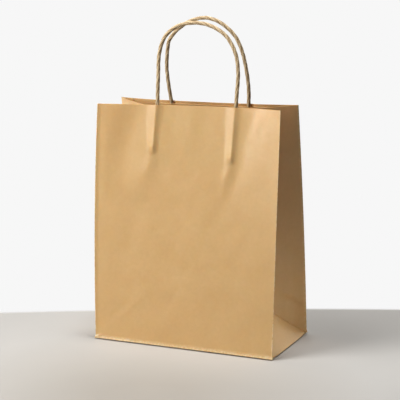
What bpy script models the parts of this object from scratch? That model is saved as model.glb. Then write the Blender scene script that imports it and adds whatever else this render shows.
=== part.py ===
"""A brown kraft paper carrier bag with two twisted paper handles, standing open.

The bag is one folded sheet: a front and a back panel that lean in towards the mouth, two
sides that are folded in along their middle, and a flat glued bottom. Each handle is a
paper cord. Its two ends are glued between two paper strips on the inside of a panel, and
show on the outside as ridges.

Sizes are in metres. X runs along the width, the front panel faces -Y, and Z = 0 is the
surface that the bag stands on. Places on a panel are given as u, to the right of its
middle, and v, above the rim.
"""

import math

import bmesh
import bpy
import numpy as np
from mathutils import Vector

# The bag at its bottom, and the sheet it is folded from
WIDTH = 0.204
DEPTH = 0.1055
HEIGHT = 0.253
PAPER = 0.0002
GAP = 0.0003

# How far each corner of the rim leans in over the bottom
FRONT_LEFT_LEAN = 0.0118
FRONT_RIGHT_LEAN = 0.0205
BACK_RIGHT_LEAN = 0.0312
BACK_LEFT_LEAN = 0.0285

# How far each corner of the rim stands to the right of the corner below it
FRONT_LEFT_SHIFT = 0.0018
FRONT_RIGHT_SHIFT = 0.0006
BACK_RIGHT_SHIFT = 0.0003
BACK_LEFT_SHIFT = -0.0033

# How far an upright edge bows out sideways at half its height
FRONT_LEFT_BOW = 0.0024
BACK_RIGHT_BOW = 0.0012

# How far the middle of each rim is drawn in, and how much more so towards its right end
FRONT_DIP = 0.0100
FRONT_DIP_SKEW = 0.5
BACK_DIP = 0.0115
DIP_POWER = 1.5

# Folded sides: how high the tip of the bottom's side triangle stands, and how far the
# folded-in middle line ends below the rim's corners
TIP_HEIGHT = 0.041
CREASE_DROP = 0.003

# Bottom flaps, folded over each other along the middle, and the seam of the back panel
FLAP_LAP = 0.022
SEAM_WIDTH = 0.015
SEAM_INSET = 0.018
SEAM_EDGE = 0.0001
SEAM_FADE = 0.003

# Handle cords, how they lean in above the rim, and how far below it their two ends reach
CORD = 0.0040
FRONT_CORD_LEAN = math.radians(4)
BACK_CORD_LEAN = math.radians(8)
SHORT_END = 0.043
LONG_END = 0.050

# Paper strips that hold a cord, and the ridge that the cord makes in them and the panel
STRIP_WIDTH = 0.130
STRIP_HEIGHT = 0.060
STRIP_DROP = 0.003
RIDGE_WIDTH = 0.011
RIDGE_SLACK = 0.0001
RIDGE_FADE = 0.006

# Routes of the two cords: u and v of points from the left end to the right end
FRONT_ROUTE = (
    (-0.0379, -SHORT_END),
    (-0.0370, -0.0215),
    (-0.0363, 0.0),
    (-0.0361, 0.0178),
    (-0.0358, 0.0305),
    (-0.0358, 0.0451),
    (-0.0346, 0.0556),
    (-0.0309, 0.0671),
    (-0.0244, 0.0755),
    (-0.0136, 0.0820),
    (0.0007, 0.0845),
    (0.0135, 0.0834),
    (0.0244, 0.0796),
    (0.0353, 0.0727),
    (0.0431, 0.0628),
    (0.0483, 0.0509),
    (0.0503, 0.0379),
    (0.0505, 0.0279),
    (0.0497, 0.0157),
    (0.0491, 0.0),
    (0.0487, -0.0250),
    (0.0482, -LONG_END),
)
BACK_ROUTE = (
    (-0.0335, -LONG_END),
    (-0.0352, -0.0250),
    (-0.0370, 0.0),
    (-0.0383, 0.0113),
    (-0.0394, 0.0274),
    (-0.0391, 0.0413),
    (-0.0354, 0.0616),
    (-0.0306, 0.0691),
    (-0.0242, 0.0755),
    (-0.0100, 0.0845),
    (0.0067, 0.0888),
    (0.0200, 0.0867),
    (0.0308, 0.0807),
    (0.0411, 0.0706),
    (0.0469, 0.0583),
    (0.0504, 0.0439),
    (0.0526, 0.0252),
    (0.0528, 0.0094),
    (0.0520, 0.0),
    (0.0510, -0.0215),
    (0.0500, -SHORT_END),
)

# Fineness of the meshes, and how little faces may turn to count as one smooth face
RIDGE_STEPS = 4
BETWEEN_STEPS = 4
OUTER_STEPS = 3
SIDE_STEPS = 3
LOWER_ROWS = 7
CURVE_STEPS = 3
SMOOTH_LIMIT = 0.1

KRAFT = (0.62, 0.40, 0.19, 1.0)
STRIP_KRAFT = (0.58, 0.37, 0.18, 1.0)
CORD_KRAFT = (0.40, 0.27, 0.13, 1.0)
ROUGHNESS = 0.85

# Depths below a panel's outer face, the ridge's size, and heights of the bottom's layers
BACKING_DEPTH = PAPER + GAP
COVER_DEPTH = BACKING_DEPTH + PAPER + GAP
CORD_DEPTH = (BACKING_DEPTH + PAPER + COVER_DEPTH) / 2
RIDGE_HALF = RIDGE_WIDTH / 2
RIDGE_RISE = CORD / 2 + GAP / 2 + RIDGE_SLACK
FLAP_LEVELS = (0.0, PAPER, 2 * PAPER)
FLOOR = 4 * PAPER


def smooth(points, steps):
    """Points on a smooth curve through the given ones, with some steps between each two."""
    points = [Vector(p) for p in points]
    ends = [2 * points[0] - points[1]] + points + [2 * points[-1] - points[-2]]
    curve = []
    for a, b, c, d in zip(ends, ends[1:], ends[2:], ends[3:]):
        for i in range(steps):
            t = i / steps
            bend = (2 * a - 5 * b + 4 * c - d) * t ** 2 + (3 * b - a - 3 * c + d) * t ** 3
            curve.append((2 * b + (c - a) * t + bend) / 2)
    return curve + [points[-1]]


class Fold:
    """One of the bag's four upright edges. side is -1 at the left, face is -1 at the front."""

    def __init__(self, side, face, lean, shift, bow=0.0):
        self.side = side
        self.face = face
        self.lean = lean
        self.shift = shift
        self.bow = bow

    def at(self, z):
        t = z / HEIGHT
        x = self.side * (WIDTH / 2 + 4 * self.bow * t * (1 - t)) + self.shift * t
        y = self.face * (DEPTH / 2 - self.lean * t)
        return Vector((x, y, z))


class Panel:
    """The front or back panel, between two folds, with the route of the cord it carries."""

    def __init__(self, face, left, right, dip, skew, cord_lean, route):
        self.face = face
        self.left = left
        self.right = right
        self.dip = dip
        self.skew = skew
        self.cord_lean = cord_lean
        self.route = smooth(route, CURVE_STEPS)
        half = len(self.route) // 2
        self.legs = [self.route[:half], self.route[half:][::-1]]

    def width(self, z):
        return self.right.at(z).x - self.left.at(z).x

    def leg_u(self, leg, z):
        """Where a leg of the cord crosses height z, or where it ends if that is above z."""
        heights = [HEIGHT + p.y for p in leg]
        top = int(np.argmax(heights))
        return float(np.interp(z, heights[:top + 1], [p.x for p in leg[:top + 1]]))

    def rise(self, u, z):
        """Height of the ridges over the cord's two ends, above the plain panel."""
        total = 0.0
        for leg in self.legs:
            away = abs(u - self.leg_u(leg, z)) / RIDGE_HALF
            below = (HEIGHT + leg[0].y - z) / RIDGE_FADE
            if away < 1 and below < 1:
                total += RIDGE_RISE * (1 + math.cos(math.pi * away)) / 2 * (1 - max(below, 0.0))
        return total

    def point(self, u, z, inward=0.0, swell=1.0):
        """A point at some depth in the panel. Ridges point out, or in where swell is -1."""
        across = 0.5 + u / self.width(z)
        s = 2 * across - 1
        p = self.left.at(z).lerp(self.right.at(z), across)
        dip = self.dip * (z / HEIGHT) ** DIP_POWER * (1 - abs(s) ** 3) * (1 + self.skew * s)
        p.y -= self.face * (dip + inward - swell * self.rise(u, z))
        return p

    def plain_point(self, u, z, inward):
        """The same, as if the panel had no ridges."""
        return self.point(u, z, inward, 0.0)

    def cord_point(self, p):
        """Where a point of the cord's route lies: in the panel's layers, or above the rim."""
        below = self.plain_point(p.x, HEIGHT + min(p.y, 0.0), CORD_DEPTH)
        above = max(p.y, 0.0)
        return below + Vector((0.0, -self.face * math.tan(self.cord_lean) * above, above))

    def strip_ends(self):
        """The u of both ends of the paper strips, which are centred on the cord's legs."""
        middle = sum(self.leg_u(leg, HEIGHT) for leg in self.legs) / 2
        return middle - STRIP_WIDTH / 2, middle + STRIP_WIDTH / 2

    def columns(self, z, whole=True):
        """The u of the mesh's columns at height z, over the panel or over its strips alone."""
        first, last = self.strip_ends()
        ridges = [[self.leg_u(leg, z) + RIDGE_HALF * k / RIDGE_STEPS
                   for k in range(-RIDGE_STEPS, RIDGE_STEPS + 1)] for leg in self.legs]
        between = spread(ridges[0][-1], ridges[1][0], BETWEEN_STEPS)[1:-1]
        inner = [first, *ridges[0], *between, *ridges[1], last]
        if not whole:
            return inner
        edge = self.width(z) / 2
        start = spread(-edge, first, OUTER_STEPS)[:-1]
        if self.face > 0:
            start += [self.seam_start(z), self.seam_start(z) + SEAM_EDGE,
                      self.seam_start(z) + SEAM_WIDTH, self.seam_start(z) + SEAM_WIDTH + SEAM_FADE]
        return sorted(start) + inner + spread(last, edge, OUTER_STEPS)[1:]

    def seam_start(self, z):
        return SEAM_INSET - self.width(z) / 2


def spread(start, end, steps):
    """Evenly spaced values from start to end, both included."""
    return [start + (end - start) * i / steps for i in range(steps + 1)]


FRONT_LEFT = Fold(-1, -1, FRONT_LEFT_LEAN, FRONT_LEFT_SHIFT, FRONT_LEFT_BOW)
FRONT_RIGHT = Fold(1, -1, FRONT_RIGHT_LEAN, FRONT_RIGHT_SHIFT)
BACK_RIGHT = Fold(1, 1, BACK_RIGHT_LEAN, BACK_RIGHT_SHIFT, BACK_RIGHT_BOW)
BACK_LEFT = Fold(-1, 1, BACK_LEFT_LEAN, BACK_LEFT_SHIFT)
FRONT = Panel(-1, FRONT_LEFT, FRONT_RIGHT, FRONT_DIP, FRONT_DIP_SKEW, FRONT_CORD_LEAN, FRONT_ROUTE)
BACK = Panel(1, BACK_LEFT, BACK_RIGHT, BACK_DIP, 0.0, BACK_CORD_LEAN, BACK_ROUTE)


def strip_rows():
    """Heights of the mesh rows across the strips, top first."""
    drops = {STRIP_DROP, SHORT_END / 2, SHORT_END, SHORT_END + RIDGE_FADE,
             LONG_END, LONG_END + RIDGE_FADE, STRIP_DROP + STRIP_HEIGHT}
    return [HEIGHT - drop for drop in sorted(drops)]


def panel_rows():
    """Heights of the mesh rows of the whole bag, from the bottom's top layer to the rim."""
    upper = strip_rows()
    return spread(FLAP_LEVELS[2], upper[-1], LOWER_ROWS)[:-1] + upper[::-1] + [HEIGHT]


def side_crease(front, back, z):
    """The folded-in middle line of a side, at the share of its length that z has of the height."""
    half = DEPTH / 2
    side = front.side
    tip_in = math.sqrt(half ** 2 - TIP_HEIGHT ** 2)
    tip = Vector((side * (WIDTH / 2 - tip_in), 0.0, TIP_HEIGHT))
    rim = (front.at(HEIGHT) + back.at(HEIGHT)) / 2
    rim_half = (back.at(HEIGHT).y - front.at(HEIGHT).y) / 2
    rim.x -= side * math.sqrt(half ** 2 - rim_half ** 2)
    rim.z -= CREASE_DROP
    share = (z - FLAP_LEVELS[2]) / (HEIGHT - FLAP_LEVELS[2])
    return tip.lerp(rim, share)


def side_points(start, end, front, back, z):
    """Points of a folded side from one fold to the other, both folds left out."""
    crease = side_crease(front, back, z)
    first = [start.at(z).lerp(crease, i / SIDE_STEPS) for i in range(1, SIDE_STEPS)]
    second = [crease.lerp(end.at(z), i / SIDE_STEPS) for i in range(SIDE_STEPS)]
    return first + second


def ring(z):
    """The bag's outer face at one row, all the way round from the front left fold."""
    front = [FRONT.point(u, z) for u in FRONT.columns(z)]
    right = side_points(FRONT_RIGHT, BACK_RIGHT, FRONT_RIGHT, BACK_RIGHT, z)
    back = [BACK.point(u, z) for u in BACK.columns(z)][::-1]
    left = side_points(BACK_LEFT, FRONT_LEFT, FRONT_LEFT, BACK_LEFT, z)
    return front + right + back + left


def seam_ring(z):
    """The same with the back panel's seam, where two layers of the sheet overlap."""
    points = ring(z)
    columns = BACK.columns(z)[::-1]
    first = len(FRONT.columns(z)) + 2 * SIDE_STEPS - 1
    start = BACK.seam_start(z)
    for i, u in enumerate(columns):
        if start < u < start + SEAM_WIDTH + SEAM_FADE / 2:
            points[first + i].y += PAPER
    return points


def strips_of(row, next_row):
    """Triangles between two rows of point numbers."""
    triangles = []
    for a, b, c, d in zip(row, row[1:], next_row[1:], next_row):
        triangles += [(a, b, c), (a, c, d)]
    return triangles


def normals_at(points, triangles):
    """For each point, the normals of the triangles round it."""
    around = [[] for _ in points]
    for triangle in triangles:
        a, b, c = (points[i] for i in triangle)
        normal = (b - a).cross(c - a).normalized()
        for i in triangle:
            around[i].append(normal)
    return around


def inner_point(point, normals, floor=None):
    """The point one paper thickness inside all faces round a point, on the floor if it is given."""
    matrix = np.array([tuple(n) for n in normals])
    target = np.full(len(normals), -PAPER)
    if floor is None:
        move = np.linalg.pinv(matrix, rcond=SMOOTH_LIMIT) @ target
        return point + Vector(move)
    lift = floor - point.z
    move = np.linalg.pinv(matrix[:, :2], rcond=SMOOTH_LIMIT) @ (target - matrix[:, 2] * lift)
    return point + Vector((move[0], move[1], lift))


def fan(centre, row):
    """Triangles from one point to each pair of neighbours in a row."""
    return [(a, centre, b) for a, b in zip(row, row[1:])]


def new_object(name, mesh, color, parent):
    material = bpy.data.materials.new(name + "_paper")
    material.use_nodes = True
    shader = material.node_tree.nodes["Principled BSDF"]
    shader.inputs["Base Color"].default_value = color
    shader.inputs["Roughness"].default_value = ROUGHNESS
    shader.inputs["Metallic"].default_value = 0.0
    mesh.materials.append(material)
    thing = bpy.data.objects.new(name, mesh)
    thing.parent = parent
    bpy.context.scene.collection.objects.link(thing)
    return thing


def mesh_from(name, points, faces):
    """A closed mesh of triangles that face out."""
    bm = bmesh.new()
    verts = [bm.verts.new(p) for p in points]
    for face in faces:
        bm.faces.new([verts[i] for i in face])
    bmesh.ops.recalc_face_normals(bm, faces=bm.faces)
    if bm.calc_volume(signed=True) < 0:
        bmesh.ops.reverse_faces(bm, faces=bm.faces)
    mesh = bpy.data.meshes.new(name)
    bm.to_mesh(mesh)
    bm.free()
    return mesh


def underside(points, faces, front_row, back_row, right_middle, left_middle):
    """The two bottom flaps, one paper thickness apart, and the side flaps above them."""
    half = DEPTH / 2
    lap = FLAP_LAP / 2
    reach = WIDTH / 2 - half

    def stack(x, y, levels):
        numbers = []
        for level in levels:
            numbers.append(len(points))
            points.append(Vector((x, y, FLAP_LEVELS[level])))
        return numbers

    right = stack(reach, 0.0, (0, 1, 2))
    left = stack(-reach, 0.0, (0, 1, 2))
    lap_right = stack(reach - lap, lap, (0, 1))
    lap_left = stack(lap - reach, lap, (0, 1))
    low_rows = []
    for panel, row, level in ((FRONT, front_row, 0), (BACK, back_row, 1)):
        low = []
        for u in panel.columns(FLAP_LEVELS[2]):
            low.append(len(points))
            points.append(panel.point(u, 0.0) + Vector((0.0, 0.0, FLAP_LEVELS[level])))
        faces += strips_of(low, row)
        low_rows.append(low)
    front_low, back_low = low_rows
    for level, low in enumerate(low_rows):
        middle = len(low) // 2
        faces += fan(left[level], low[:middle + 1])
        faces += fan(right[level], low[middle:])
        tips = [left[level], lap_left[level], lap_right[level], right[level]]
        faces += fan(low[middle], tips)
    for end, tip, middle in ((-1, right, right_middle), (0, left, left_middle)):
        faces += fan(tip[2], [front_row[end], middle, back_row[end]])
        faces += fan(front_row[end], [front_low[end], *tip])
        faces += fan(back_row[end], [back_low[end], *tip[1:]])
    for a, b in ((right, lap_right), (lap_right, lap_left), (lap_left, left)):
        faces += strips_of([a[0], b[0]], [a[1], b[1]])


def make_bag(parent):
    rows = panel_rows()
    plain = [ring(z) for z in rows]
    count = len(plain[0])
    total = count * len(rows)
    numbers = [[i * count + j for j in range(count)] + [i * count] for i in range(len(rows))]
    wall = []
    for row, next_row in zip(numbers, numbers[1:]):
        wall += strips_of(row, next_row)

    front_count = len(FRONT.columns(rows[0]))
    back_start = front_count + 2 * SIDE_STEPS - 1
    back_end = count - 2 * SIDE_STEPS
    bottom = numbers[0]
    middles = [Vector((side * WIDTH / 2, 0.0, rows[0])) for side in (1, -1)]
    outer = [p for row in plain for p in row] + middles
    right_fan = fan(total, bottom[front_count - 1:back_start + 1])
    left_fan = fan(total + 1, bottom[back_end:])
    skin = wall + right_fan + left_fan

    standing = set(bottom[:front_count]) | set(bottom[back_start:back_end + 1]) | {total, total + 1}
    inner = []
    for i, (point, normals) in enumerate(zip(outer, normals_at(outer, skin))):
        inner.append(inner_point(point, normals, FLOOR if i in standing else None))

    points = [p for z in rows for p in seam_ring(z)]
    points[:count] = plain[0]
    points += middles
    offset = len(points)
    points += inner
    faces = [list(f) for f in skin]
    faces += [[offset + i for i in reversed(f)] for f in skin]
    top = numbers[-1]
    faces += strips_of(top, [offset + i for i in top])

    front_row = bottom[:front_count]
    back_row = bottom[back_start:back_end + 1][::-1]
    floor = fan(total + 1, front_row + [total] + back_row[::-1])
    faces += [[offset + i for i in f] for f in floor]
    underside(points, faces, front_row, back_row, total, total + 1)
    return new_object("paper_bag", mesh_from("paper_bag", points, faces), KRAFT, parent)


def make_strip(name, panel, depth, swell, parent):
    """One of the two paper strips that hold a cord's ends, with its outer face at a depth."""
    rows = strip_rows()[::-1]
    points = []
    for inward in (depth, depth + PAPER):
        for z in rows:
            columns = panel.columns(z, whole=False)[::-panel.face]
            points += [panel.point(u, z, inward, swell) for u in columns]
    count = len(points) // (2 * len(rows))
    half = len(points) // 2
    numbers = [[i * count + j for j in range(count)] for i in range(len(rows))]
    faces = []
    for row, next_row in zip(numbers, numbers[1:]):
        near = strips_of(row, next_row)
        faces += near + [tuple(half + i for i in reversed(f)) for f in near]
    border = numbers[0] + [row[-1] for row in numbers[1:]] + numbers[-1][-2::-1]
    border += [row[0] for row in numbers[-2:0:-1]] + [numbers[0][0]]
    faces += strips_of(border, [half + i for i in border])
    return new_object(name, mesh_from(name, points, faces), STRIP_KRAFT, parent)


def make_handle(name, panel, parent):
    """A cord along its whole route, as a curve with a round section."""
    curve = bpy.data.curves.new(name, "CURVE")
    curve.dimensions = "3D"
    curve.bevel_depth = CORD / 2
    curve.bevel_resolution = 2
    curve.use_fill_caps = True
    path = [panel.cord_point(p) for p in panel.route]
    spline = curve.splines.new("POLY")
    spline.points.add(len(path) - 1)
    for place, p in zip(spline.points, path):
        place.co = (*p, 1.0)
    return new_object(name, curve, CORD_KRAFT, parent)


def main():
    for thing in list(bpy.data.objects):
        bpy.data.objects.remove(thing)
    whole = bpy.data.objects.new("carrier_bag", None)
    bpy.context.scene.collection.objects.link(whole)
    make_bag(whole)
    for name, panel in (("front", FRONT), ("back", BACK)):
        make_handle(name + "_handle", panel, whole)
        make_strip(name + "_backing_strip", panel, BACKING_DEPTH, 1.0, whole)
        make_strip(name + "_cover_strip", panel, COVER_DEPTH, -1.0, whole)


main()
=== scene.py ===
"""The looks of the kraft paper carrier bag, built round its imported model.

The bag is one thin folded sheet with soft dents, folds and creases. Its handles are cords
of twisted paper, glued between paper strips on the inside. Sizes are in metres, in the
model's own frame: X along the width, the front panel faces -Y, and the floor is Z = 0.
Places on a panel are given as u, to the right of its middle, and v, above the rim.
"""

import math

import bmesh
import bpy
import numpy as np
from mathutils import Matrix, Vector, noise


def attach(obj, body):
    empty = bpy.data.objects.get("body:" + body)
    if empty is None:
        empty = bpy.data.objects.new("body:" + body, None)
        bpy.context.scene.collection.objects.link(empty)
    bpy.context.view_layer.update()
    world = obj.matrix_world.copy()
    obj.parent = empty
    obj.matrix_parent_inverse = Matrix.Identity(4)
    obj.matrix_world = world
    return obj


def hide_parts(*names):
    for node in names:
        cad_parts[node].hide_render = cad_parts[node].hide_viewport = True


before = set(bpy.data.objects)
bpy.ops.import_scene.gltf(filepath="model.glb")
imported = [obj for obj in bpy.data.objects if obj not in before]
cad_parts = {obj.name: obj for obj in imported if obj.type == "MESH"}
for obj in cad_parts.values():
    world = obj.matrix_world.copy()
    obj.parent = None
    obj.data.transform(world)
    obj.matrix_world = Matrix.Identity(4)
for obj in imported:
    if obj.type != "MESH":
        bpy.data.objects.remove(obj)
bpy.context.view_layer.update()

# The bag's width and depth at its bottom, its height, its paper, and the gap between layers
WIDTH = 0.204
DEPTH = 0.1055
HEIGHT = 0.253
PAPER = 0.0002
GAP = 0.0003

# How far each corner of the rim leans in over the bottom
FRONT_LEFT_LEAN = 0.0118
FRONT_RIGHT_LEAN = 0.0205
BACK_RIGHT_LEAN = 0.0312
BACK_LEFT_LEAN = 0.0285

# How far each corner of the rim stands to the right of the corner below it
FRONT_LEFT_SHIFT = 0.0018
FRONT_RIGHT_SHIFT = 0.0006
BACK_RIGHT_SHIFT = 0.0003
BACK_LEFT_SHIFT = -0.0033

# How far an upright edge bows out sideways at half its height
FRONT_LEFT_BOW = 0.0024
BACK_RIGHT_BOW = 0.0012

# How far the middle of each rim is drawn in, how much more so towards its right end, and the
# power of the height that this grows with
FRONT_DIP = 0.0100
FRONT_DIP_SKEW = 0.5
BACK_DIP = 0.0115
DIP_POWER = 1.5

# Folded sides: how high the tip of the bottom's side triangle stands, and how far the
# folded-in middle line ends below the rim's corners
TIP_HEIGHT = 0.041
CREASE_DROP = 0.003

# Bottom flaps: how far they lap over each other, and the height of each one's lower face
FLAP_LAP = 0.022
FLAP_LEVELS = (0.0, 1.5 * PAPER, 3.0 * PAPER)

# The glued seam of the back panel: how wide, how far in from the left fold, and over what
# width it rises at its edge and fades out at the other end
SEAM_WIDTH = 0.015
SEAM_INSET = 0.018
SEAM_EDGE = 0.0001
SEAM_FADE = 0.003

# Handle cords: how thick they are, how they lean in above the rim, and how far below it
# their ends reach
CORD = 0.0040
FRONT_CORD_LEAN = math.radians(4)
BACK_CORD_LEAN = math.radians(8)
SHORT_END = 0.043
LONG_END = 0.050

# Paper strips that hold a cord, how deep in the panel the outer face of each is, and how
# deep the cord's middle line is
STRIP_WIDTH = 0.130
STRIP_HEIGHT = 0.060
STRIP_DROP = 0.003
BACKING_DEPTH = PAPER + GAP
COVER_DEPTH = BACKING_DEPTH + PAPER + GAP
CORD_DEPTH = (BACKING_DEPTH + PAPER + COVER_DEPTH) / 2

# Ridges over the cords: the slack in them, how high they are, how far they fade out below the
# cord's end, how wide and how hollow each flank is, how round the crest, and how much they
# narrow downwards
RIDGE_SLACK = 0.0001
RIDGE_RISE = CORD / 2 + GAP / 2 + RIDGE_SLACK
RIDGE_FADE = 0.010
LEFT_FLANK = 0.0105
LEFT_HOLLOW = 1.5
RIGHT_FLANK = 0.0090
RIGHT_HOLLOW = 2.6
CREST = 0.18
NARROWING = 0.30

# The shallow groove beside the front panel's left fold and the back panel's right fold, and
# how high above the foot it has its whole depth
GROOVE_WIDTH = 0.003
GROOVE_REACH = 0.012
GROOVE_DEPTH = 0.0011
GROOVE_START = 0.02

# The pinched crease at the front panel's lower left corner
EAR_START = 0.0018
EAR_ANGLE = math.radians(27)
EAR_LENGTH = 0.0135
EAR_WIDTH = 0.0011
EAR_RISE = 0.0007

# Fine unevenness of a panel: its height, how many waves and ripples a metre has, and how much
# the ripples slant. The places set each panel's own pattern. Dents and unevenness fade out
# within the margin.
WAVE_RISE = 0.00028
WAVES_ACROSS = 38
WAVES_UP = 24
WAVE_PLACE = 3.1
RIPPLE_RISE = 0.00010
RIPPLES_ACROSS = 110
RIPPLES_UP = 60
RIPPLE_SLANT = 50
RIPPLE_PLACE = 9.2
PANEL_PLACE = 7
MARGIN = 0.012

# How far in from a cut edge the mesh has an extra row, so that the sheet is shaded flat there
EDGE = 0.00025

# Folds of the sheet: how round they are, and how far and between which heights the bottom
# edge turns under
FOLD_RADIUS = 0.0012
TUCK = 0.0045
LIP_BOTTOM = 0.0005
LIP_TOP = 0.0014

# The foot of the wall kicks out a little over its last few millimetres, less in its middle
KICK_HEIGHT = 0.0060
KICK = 0.0014
KICK_SAG = 1.6

# Folded sides: how much each half bows out and above which height it has its whole bow, and
# the waves of its own unevenness
SIDE_BOW = 0.0016
SIDE_BOW_START = 0.08
SIDE_WAVE_RISE = 0.00045
SIDE_WAVES_ACROSS = 2.2
SIDE_WAVES_UP = 26
SIDE_PLACE = 4.0

# The shallow cross crease above the side triangle, a little lower at the front. It ends
# before it reaches the middle line.
BUCKLE_HEIGHT = 0.040
BUCKLE_TILT = 0.004
BUCKLE_WIDTH = 0.004
BUCKLE_DEPTH = 0.0009
BUCKLE_REACH = 1.3

# The upright bend in the lower part of each half, and the deeper pocket at the back
BEND_PLACE = 0.25
BEND_RISE = -0.0024
BEND_TOP = 0.115
BEND_FADE = 0.03
POCKET_HEIGHT = 0.034
POCKET_RISE = -0.0016
POCKET_FADE = 0.006

# How much paler the paper is painted at its folds and just beside them, at the sides' middle lines,
# along the seam and at the foot: rubbed paper together with a painted highlight at the folds and
# middle lines, rubbed paper along the seam, and a painted highlight at the foot
FOLD_WEAR_AND_HIGHLIGHT = 1.0
BESIDE_FOLD = 0.4
CREASE_WEAR_AND_HIGHLIGHT = 0.3
SEAM_WEAR = 0.3
FOOT_HIGHLIGHT = 0.9

# Columns of the mesh: on each flank of a ridge, between and beside the ridges, out to the
# folds, and at the back up to the seam, over it and beyond it. The gradings set them closer
# together at a ridge's crest and at a fold.
LEFT_FLANK_COLUMNS = 12
RIGHT_FLANK_COLUMNS = 10
BETWEEN_COLUMNS = 24
STRIP_END_COLUMNS = 6
OUTER_COLUMNS = 21
SEAM_COLUMNS = 10
LAP_COLUMNS = 5
BESIDE_LAP_COLUMNS = 4
FLANK_GRADING = 1.3
FOLD_GRADING = 1.6

# Steps across half a side, points round a fold, and the points of a whole side
SIDE_STEPS = 14
CORNER_POINTS = 5
SIDE_POINTS = 2 * (SIDE_STEPS - 1) + 3 * CORNER_POINTS

# Rows of the mesh: start, end and steps of each stretch, and the steps of a strip's rows.
# The triangle's rows are parts of the way from its upper edge down to its foot.
LIP_ROWS = (LIP_BOTTOM, LIP_TOP, 8)
FOOT_ROWS = (LIP_TOP + EDGE, 0.011, 16)
WALL_ROWS = (0.011, 0.190, 62)
UPPER_ROWS = (0.190, HEIGHT - EDGE, 40)
TRIANGLE_ROWS = (0.05, 0.90, 12)
TRIANGLE_FOOT_ROWS = (0.92, 1.0, 16)
STRIP_ROWS = 34

# The cord: three strands laid round each other, the length of one turn, and how finely it is
# built. Its direction is taken from a few steps ahead and behind, and the place sets each
# cord's own pattern.
STRANDS = 3
TWIST_LENGTH = 0.0300
CORD_SIDES = 42
CORD_STEP = 0.0005
ROUTE_STEPS = 3
PATH_STEPS = 4
AHEAD = 3
CORD_PLACE = 10

# The cord's section, as parts of its radius: the core, the strands on it, and the creases
# and lumps of the rolled paper, with how many there are round the cord and along a metre
CORE = 0.89
STRAND_RISE = 0.14
STRAND_SHAPE = 0.7
CREASE_DEPTH = 0.06
CREASES_ROUND = 3.0
CREASES_ALONG = 55
CREASE_CONTRAST = 0.9
LUMP_RISE = 0.06
LUMPS_ROUND = 0.9
LUMPS_ALONG = 70
LUMP_PLACE = 5

# Routes of the two cords: u and v of points from the left end to the right end
FRONT_ROUTE = (
    (-0.0379, -SHORT_END),
    (-0.0370, -0.0215),
    (-0.0363, 0.0),
    (-0.0361, 0.0178),
    (-0.0358, 0.0305),
    (-0.0358, 0.0451),
    (-0.0346, 0.0556),
    (-0.0309, 0.0671),
    (-0.0244, 0.0755),
    (-0.0136, 0.0820),
    (0.0007, 0.0845),
    (0.0135, 0.0834),
    (0.0244, 0.0796),
    (0.0353, 0.0727),
    (0.0431, 0.0628),
    (0.0483, 0.0509),
    (0.0503, 0.0379),
    (0.0505, 0.0279),
    (0.0497, 0.0157),
    (0.0491, 0.0),
    (0.0487, -0.0250),
    (0.0482, -LONG_END),
)
BACK_ROUTE = (
    (-0.0335, -LONG_END),
    (-0.0352, -0.0250),
    (-0.0370, 0.0),
    (-0.0383, 0.0113),
    (-0.0394, 0.0274),
    (-0.0391, 0.0413),
    (-0.0354, 0.0616),
    (-0.0306, 0.0691),
    (-0.0242, 0.0755),
    (-0.0100, 0.0845),
    (0.0067, 0.0888),
    (0.0200, 0.0867),
    (0.0308, 0.0807),
    (0.0411, 0.0706),
    (0.0469, 0.0583),
    (0.0504, 0.0439),
    (0.0526, 0.0252),
    (0.0528, 0.0094),
    (0.0520, 0.0),
    (0.0510, -0.0215),
    (0.0500, -SHORT_END),
)

# Soft dents and swells of a panel: u, height, length, width, slant from upright, and rise.
# A slant of 30 degrees leans the dent's top to the right.
FRONT_DENTS = (
    (-0.066, 0.222, 0.050, 0.015, 14, -0.0017),
    (-0.088, 0.228, 0.030, 0.012, 10, 0.0003),
    (0.064, 0.225, 0.040, 0.009, 14, -0.0007),
    (0.086, 0.215, 0.050, 0.010, 6, 0.0003),
    (0.074, 0.238, 0.012, 0.003, 10, 0.0002),
    (0.081, 0.232, 0.016, 0.003, 6, -0.0002),
    (0.046, 0.190, 0.016, 0.005, 14, 0.0007),
    (0.054, 0.176, 0.026, 0.007, 20, -0.0004),
    (-0.040, 0.196, 0.020, 0.006, 20, 0.0005),
    (-0.047, 0.180, 0.034, 0.009, 24, 0.0003),
    (-0.016, 0.236, 0.016, 0.007, 4, -0.0003),
    (0.003, 0.232, 0.022, 0.006, -6, 0.0003),
    (0.016, 0.236, 0.016, 0.006, 6, -0.0003),
    (-0.074, 0.034, 0.020, 0.005, 50, -0.0005),
    (-0.060, 0.042, 0.026, 0.006, 48, 0.0003),
    (-0.014, 0.048, 0.016, 0.005, 30, -0.0004),
    (0.010, 0.070, 0.034, 0.010, 34, 0.0002),
    (0.062, 0.095, 0.040, 0.011, 24, -0.0002),
    (0.080, 0.110, 0.040, 0.010, 20, 0.0002),
    (-0.060, 0.120, 0.040, 0.008, 18, -0.0003),
    (0.036, 0.030, 0.030, 0.008, 14, -0.0003),
)
BACK_DENTS = (
    (-0.060, 0.220, 0.040, 0.012, -14, -0.0009),
    (0.068, 0.222, 0.042, 0.012, -12, -0.0009),
    (0.004, 0.228, 0.030, 0.010, 6, 0.0004),
    (-0.030, 0.150, 0.050, 0.012, -26, -0.0005),
    (0.050, 0.120, 0.045, 0.010, -30, 0.0005),
    (0.030, 0.060, 0.040, 0.010, -36, -0.0005),
    (-0.060, 0.060, 0.036, 0.010, 30, 0.0005),
)

# Colours of the paper: light, middle, dark, and a paler one for rubbed paper and painted highlights
KRAFT = (
    (0.645, 0.405, 0.178, 1),
    (0.615, 0.376, 0.157, 1),
    (0.530, 0.312, 0.122, 1),
    (0.90, 0.72, 0.48, 1),
)
# The strips' paper: a darker copy of the kraft, painted shade for the inside of the bag
SHADED_STRIP_KRAFT = (
    (0.615, 0.385, 0.165, 1),
    (0.58, 0.352, 0.145, 1),
    (0.49, 0.285, 0.110, 1),
    (0.74, 0.54, 0.32, 1),
)
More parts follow.
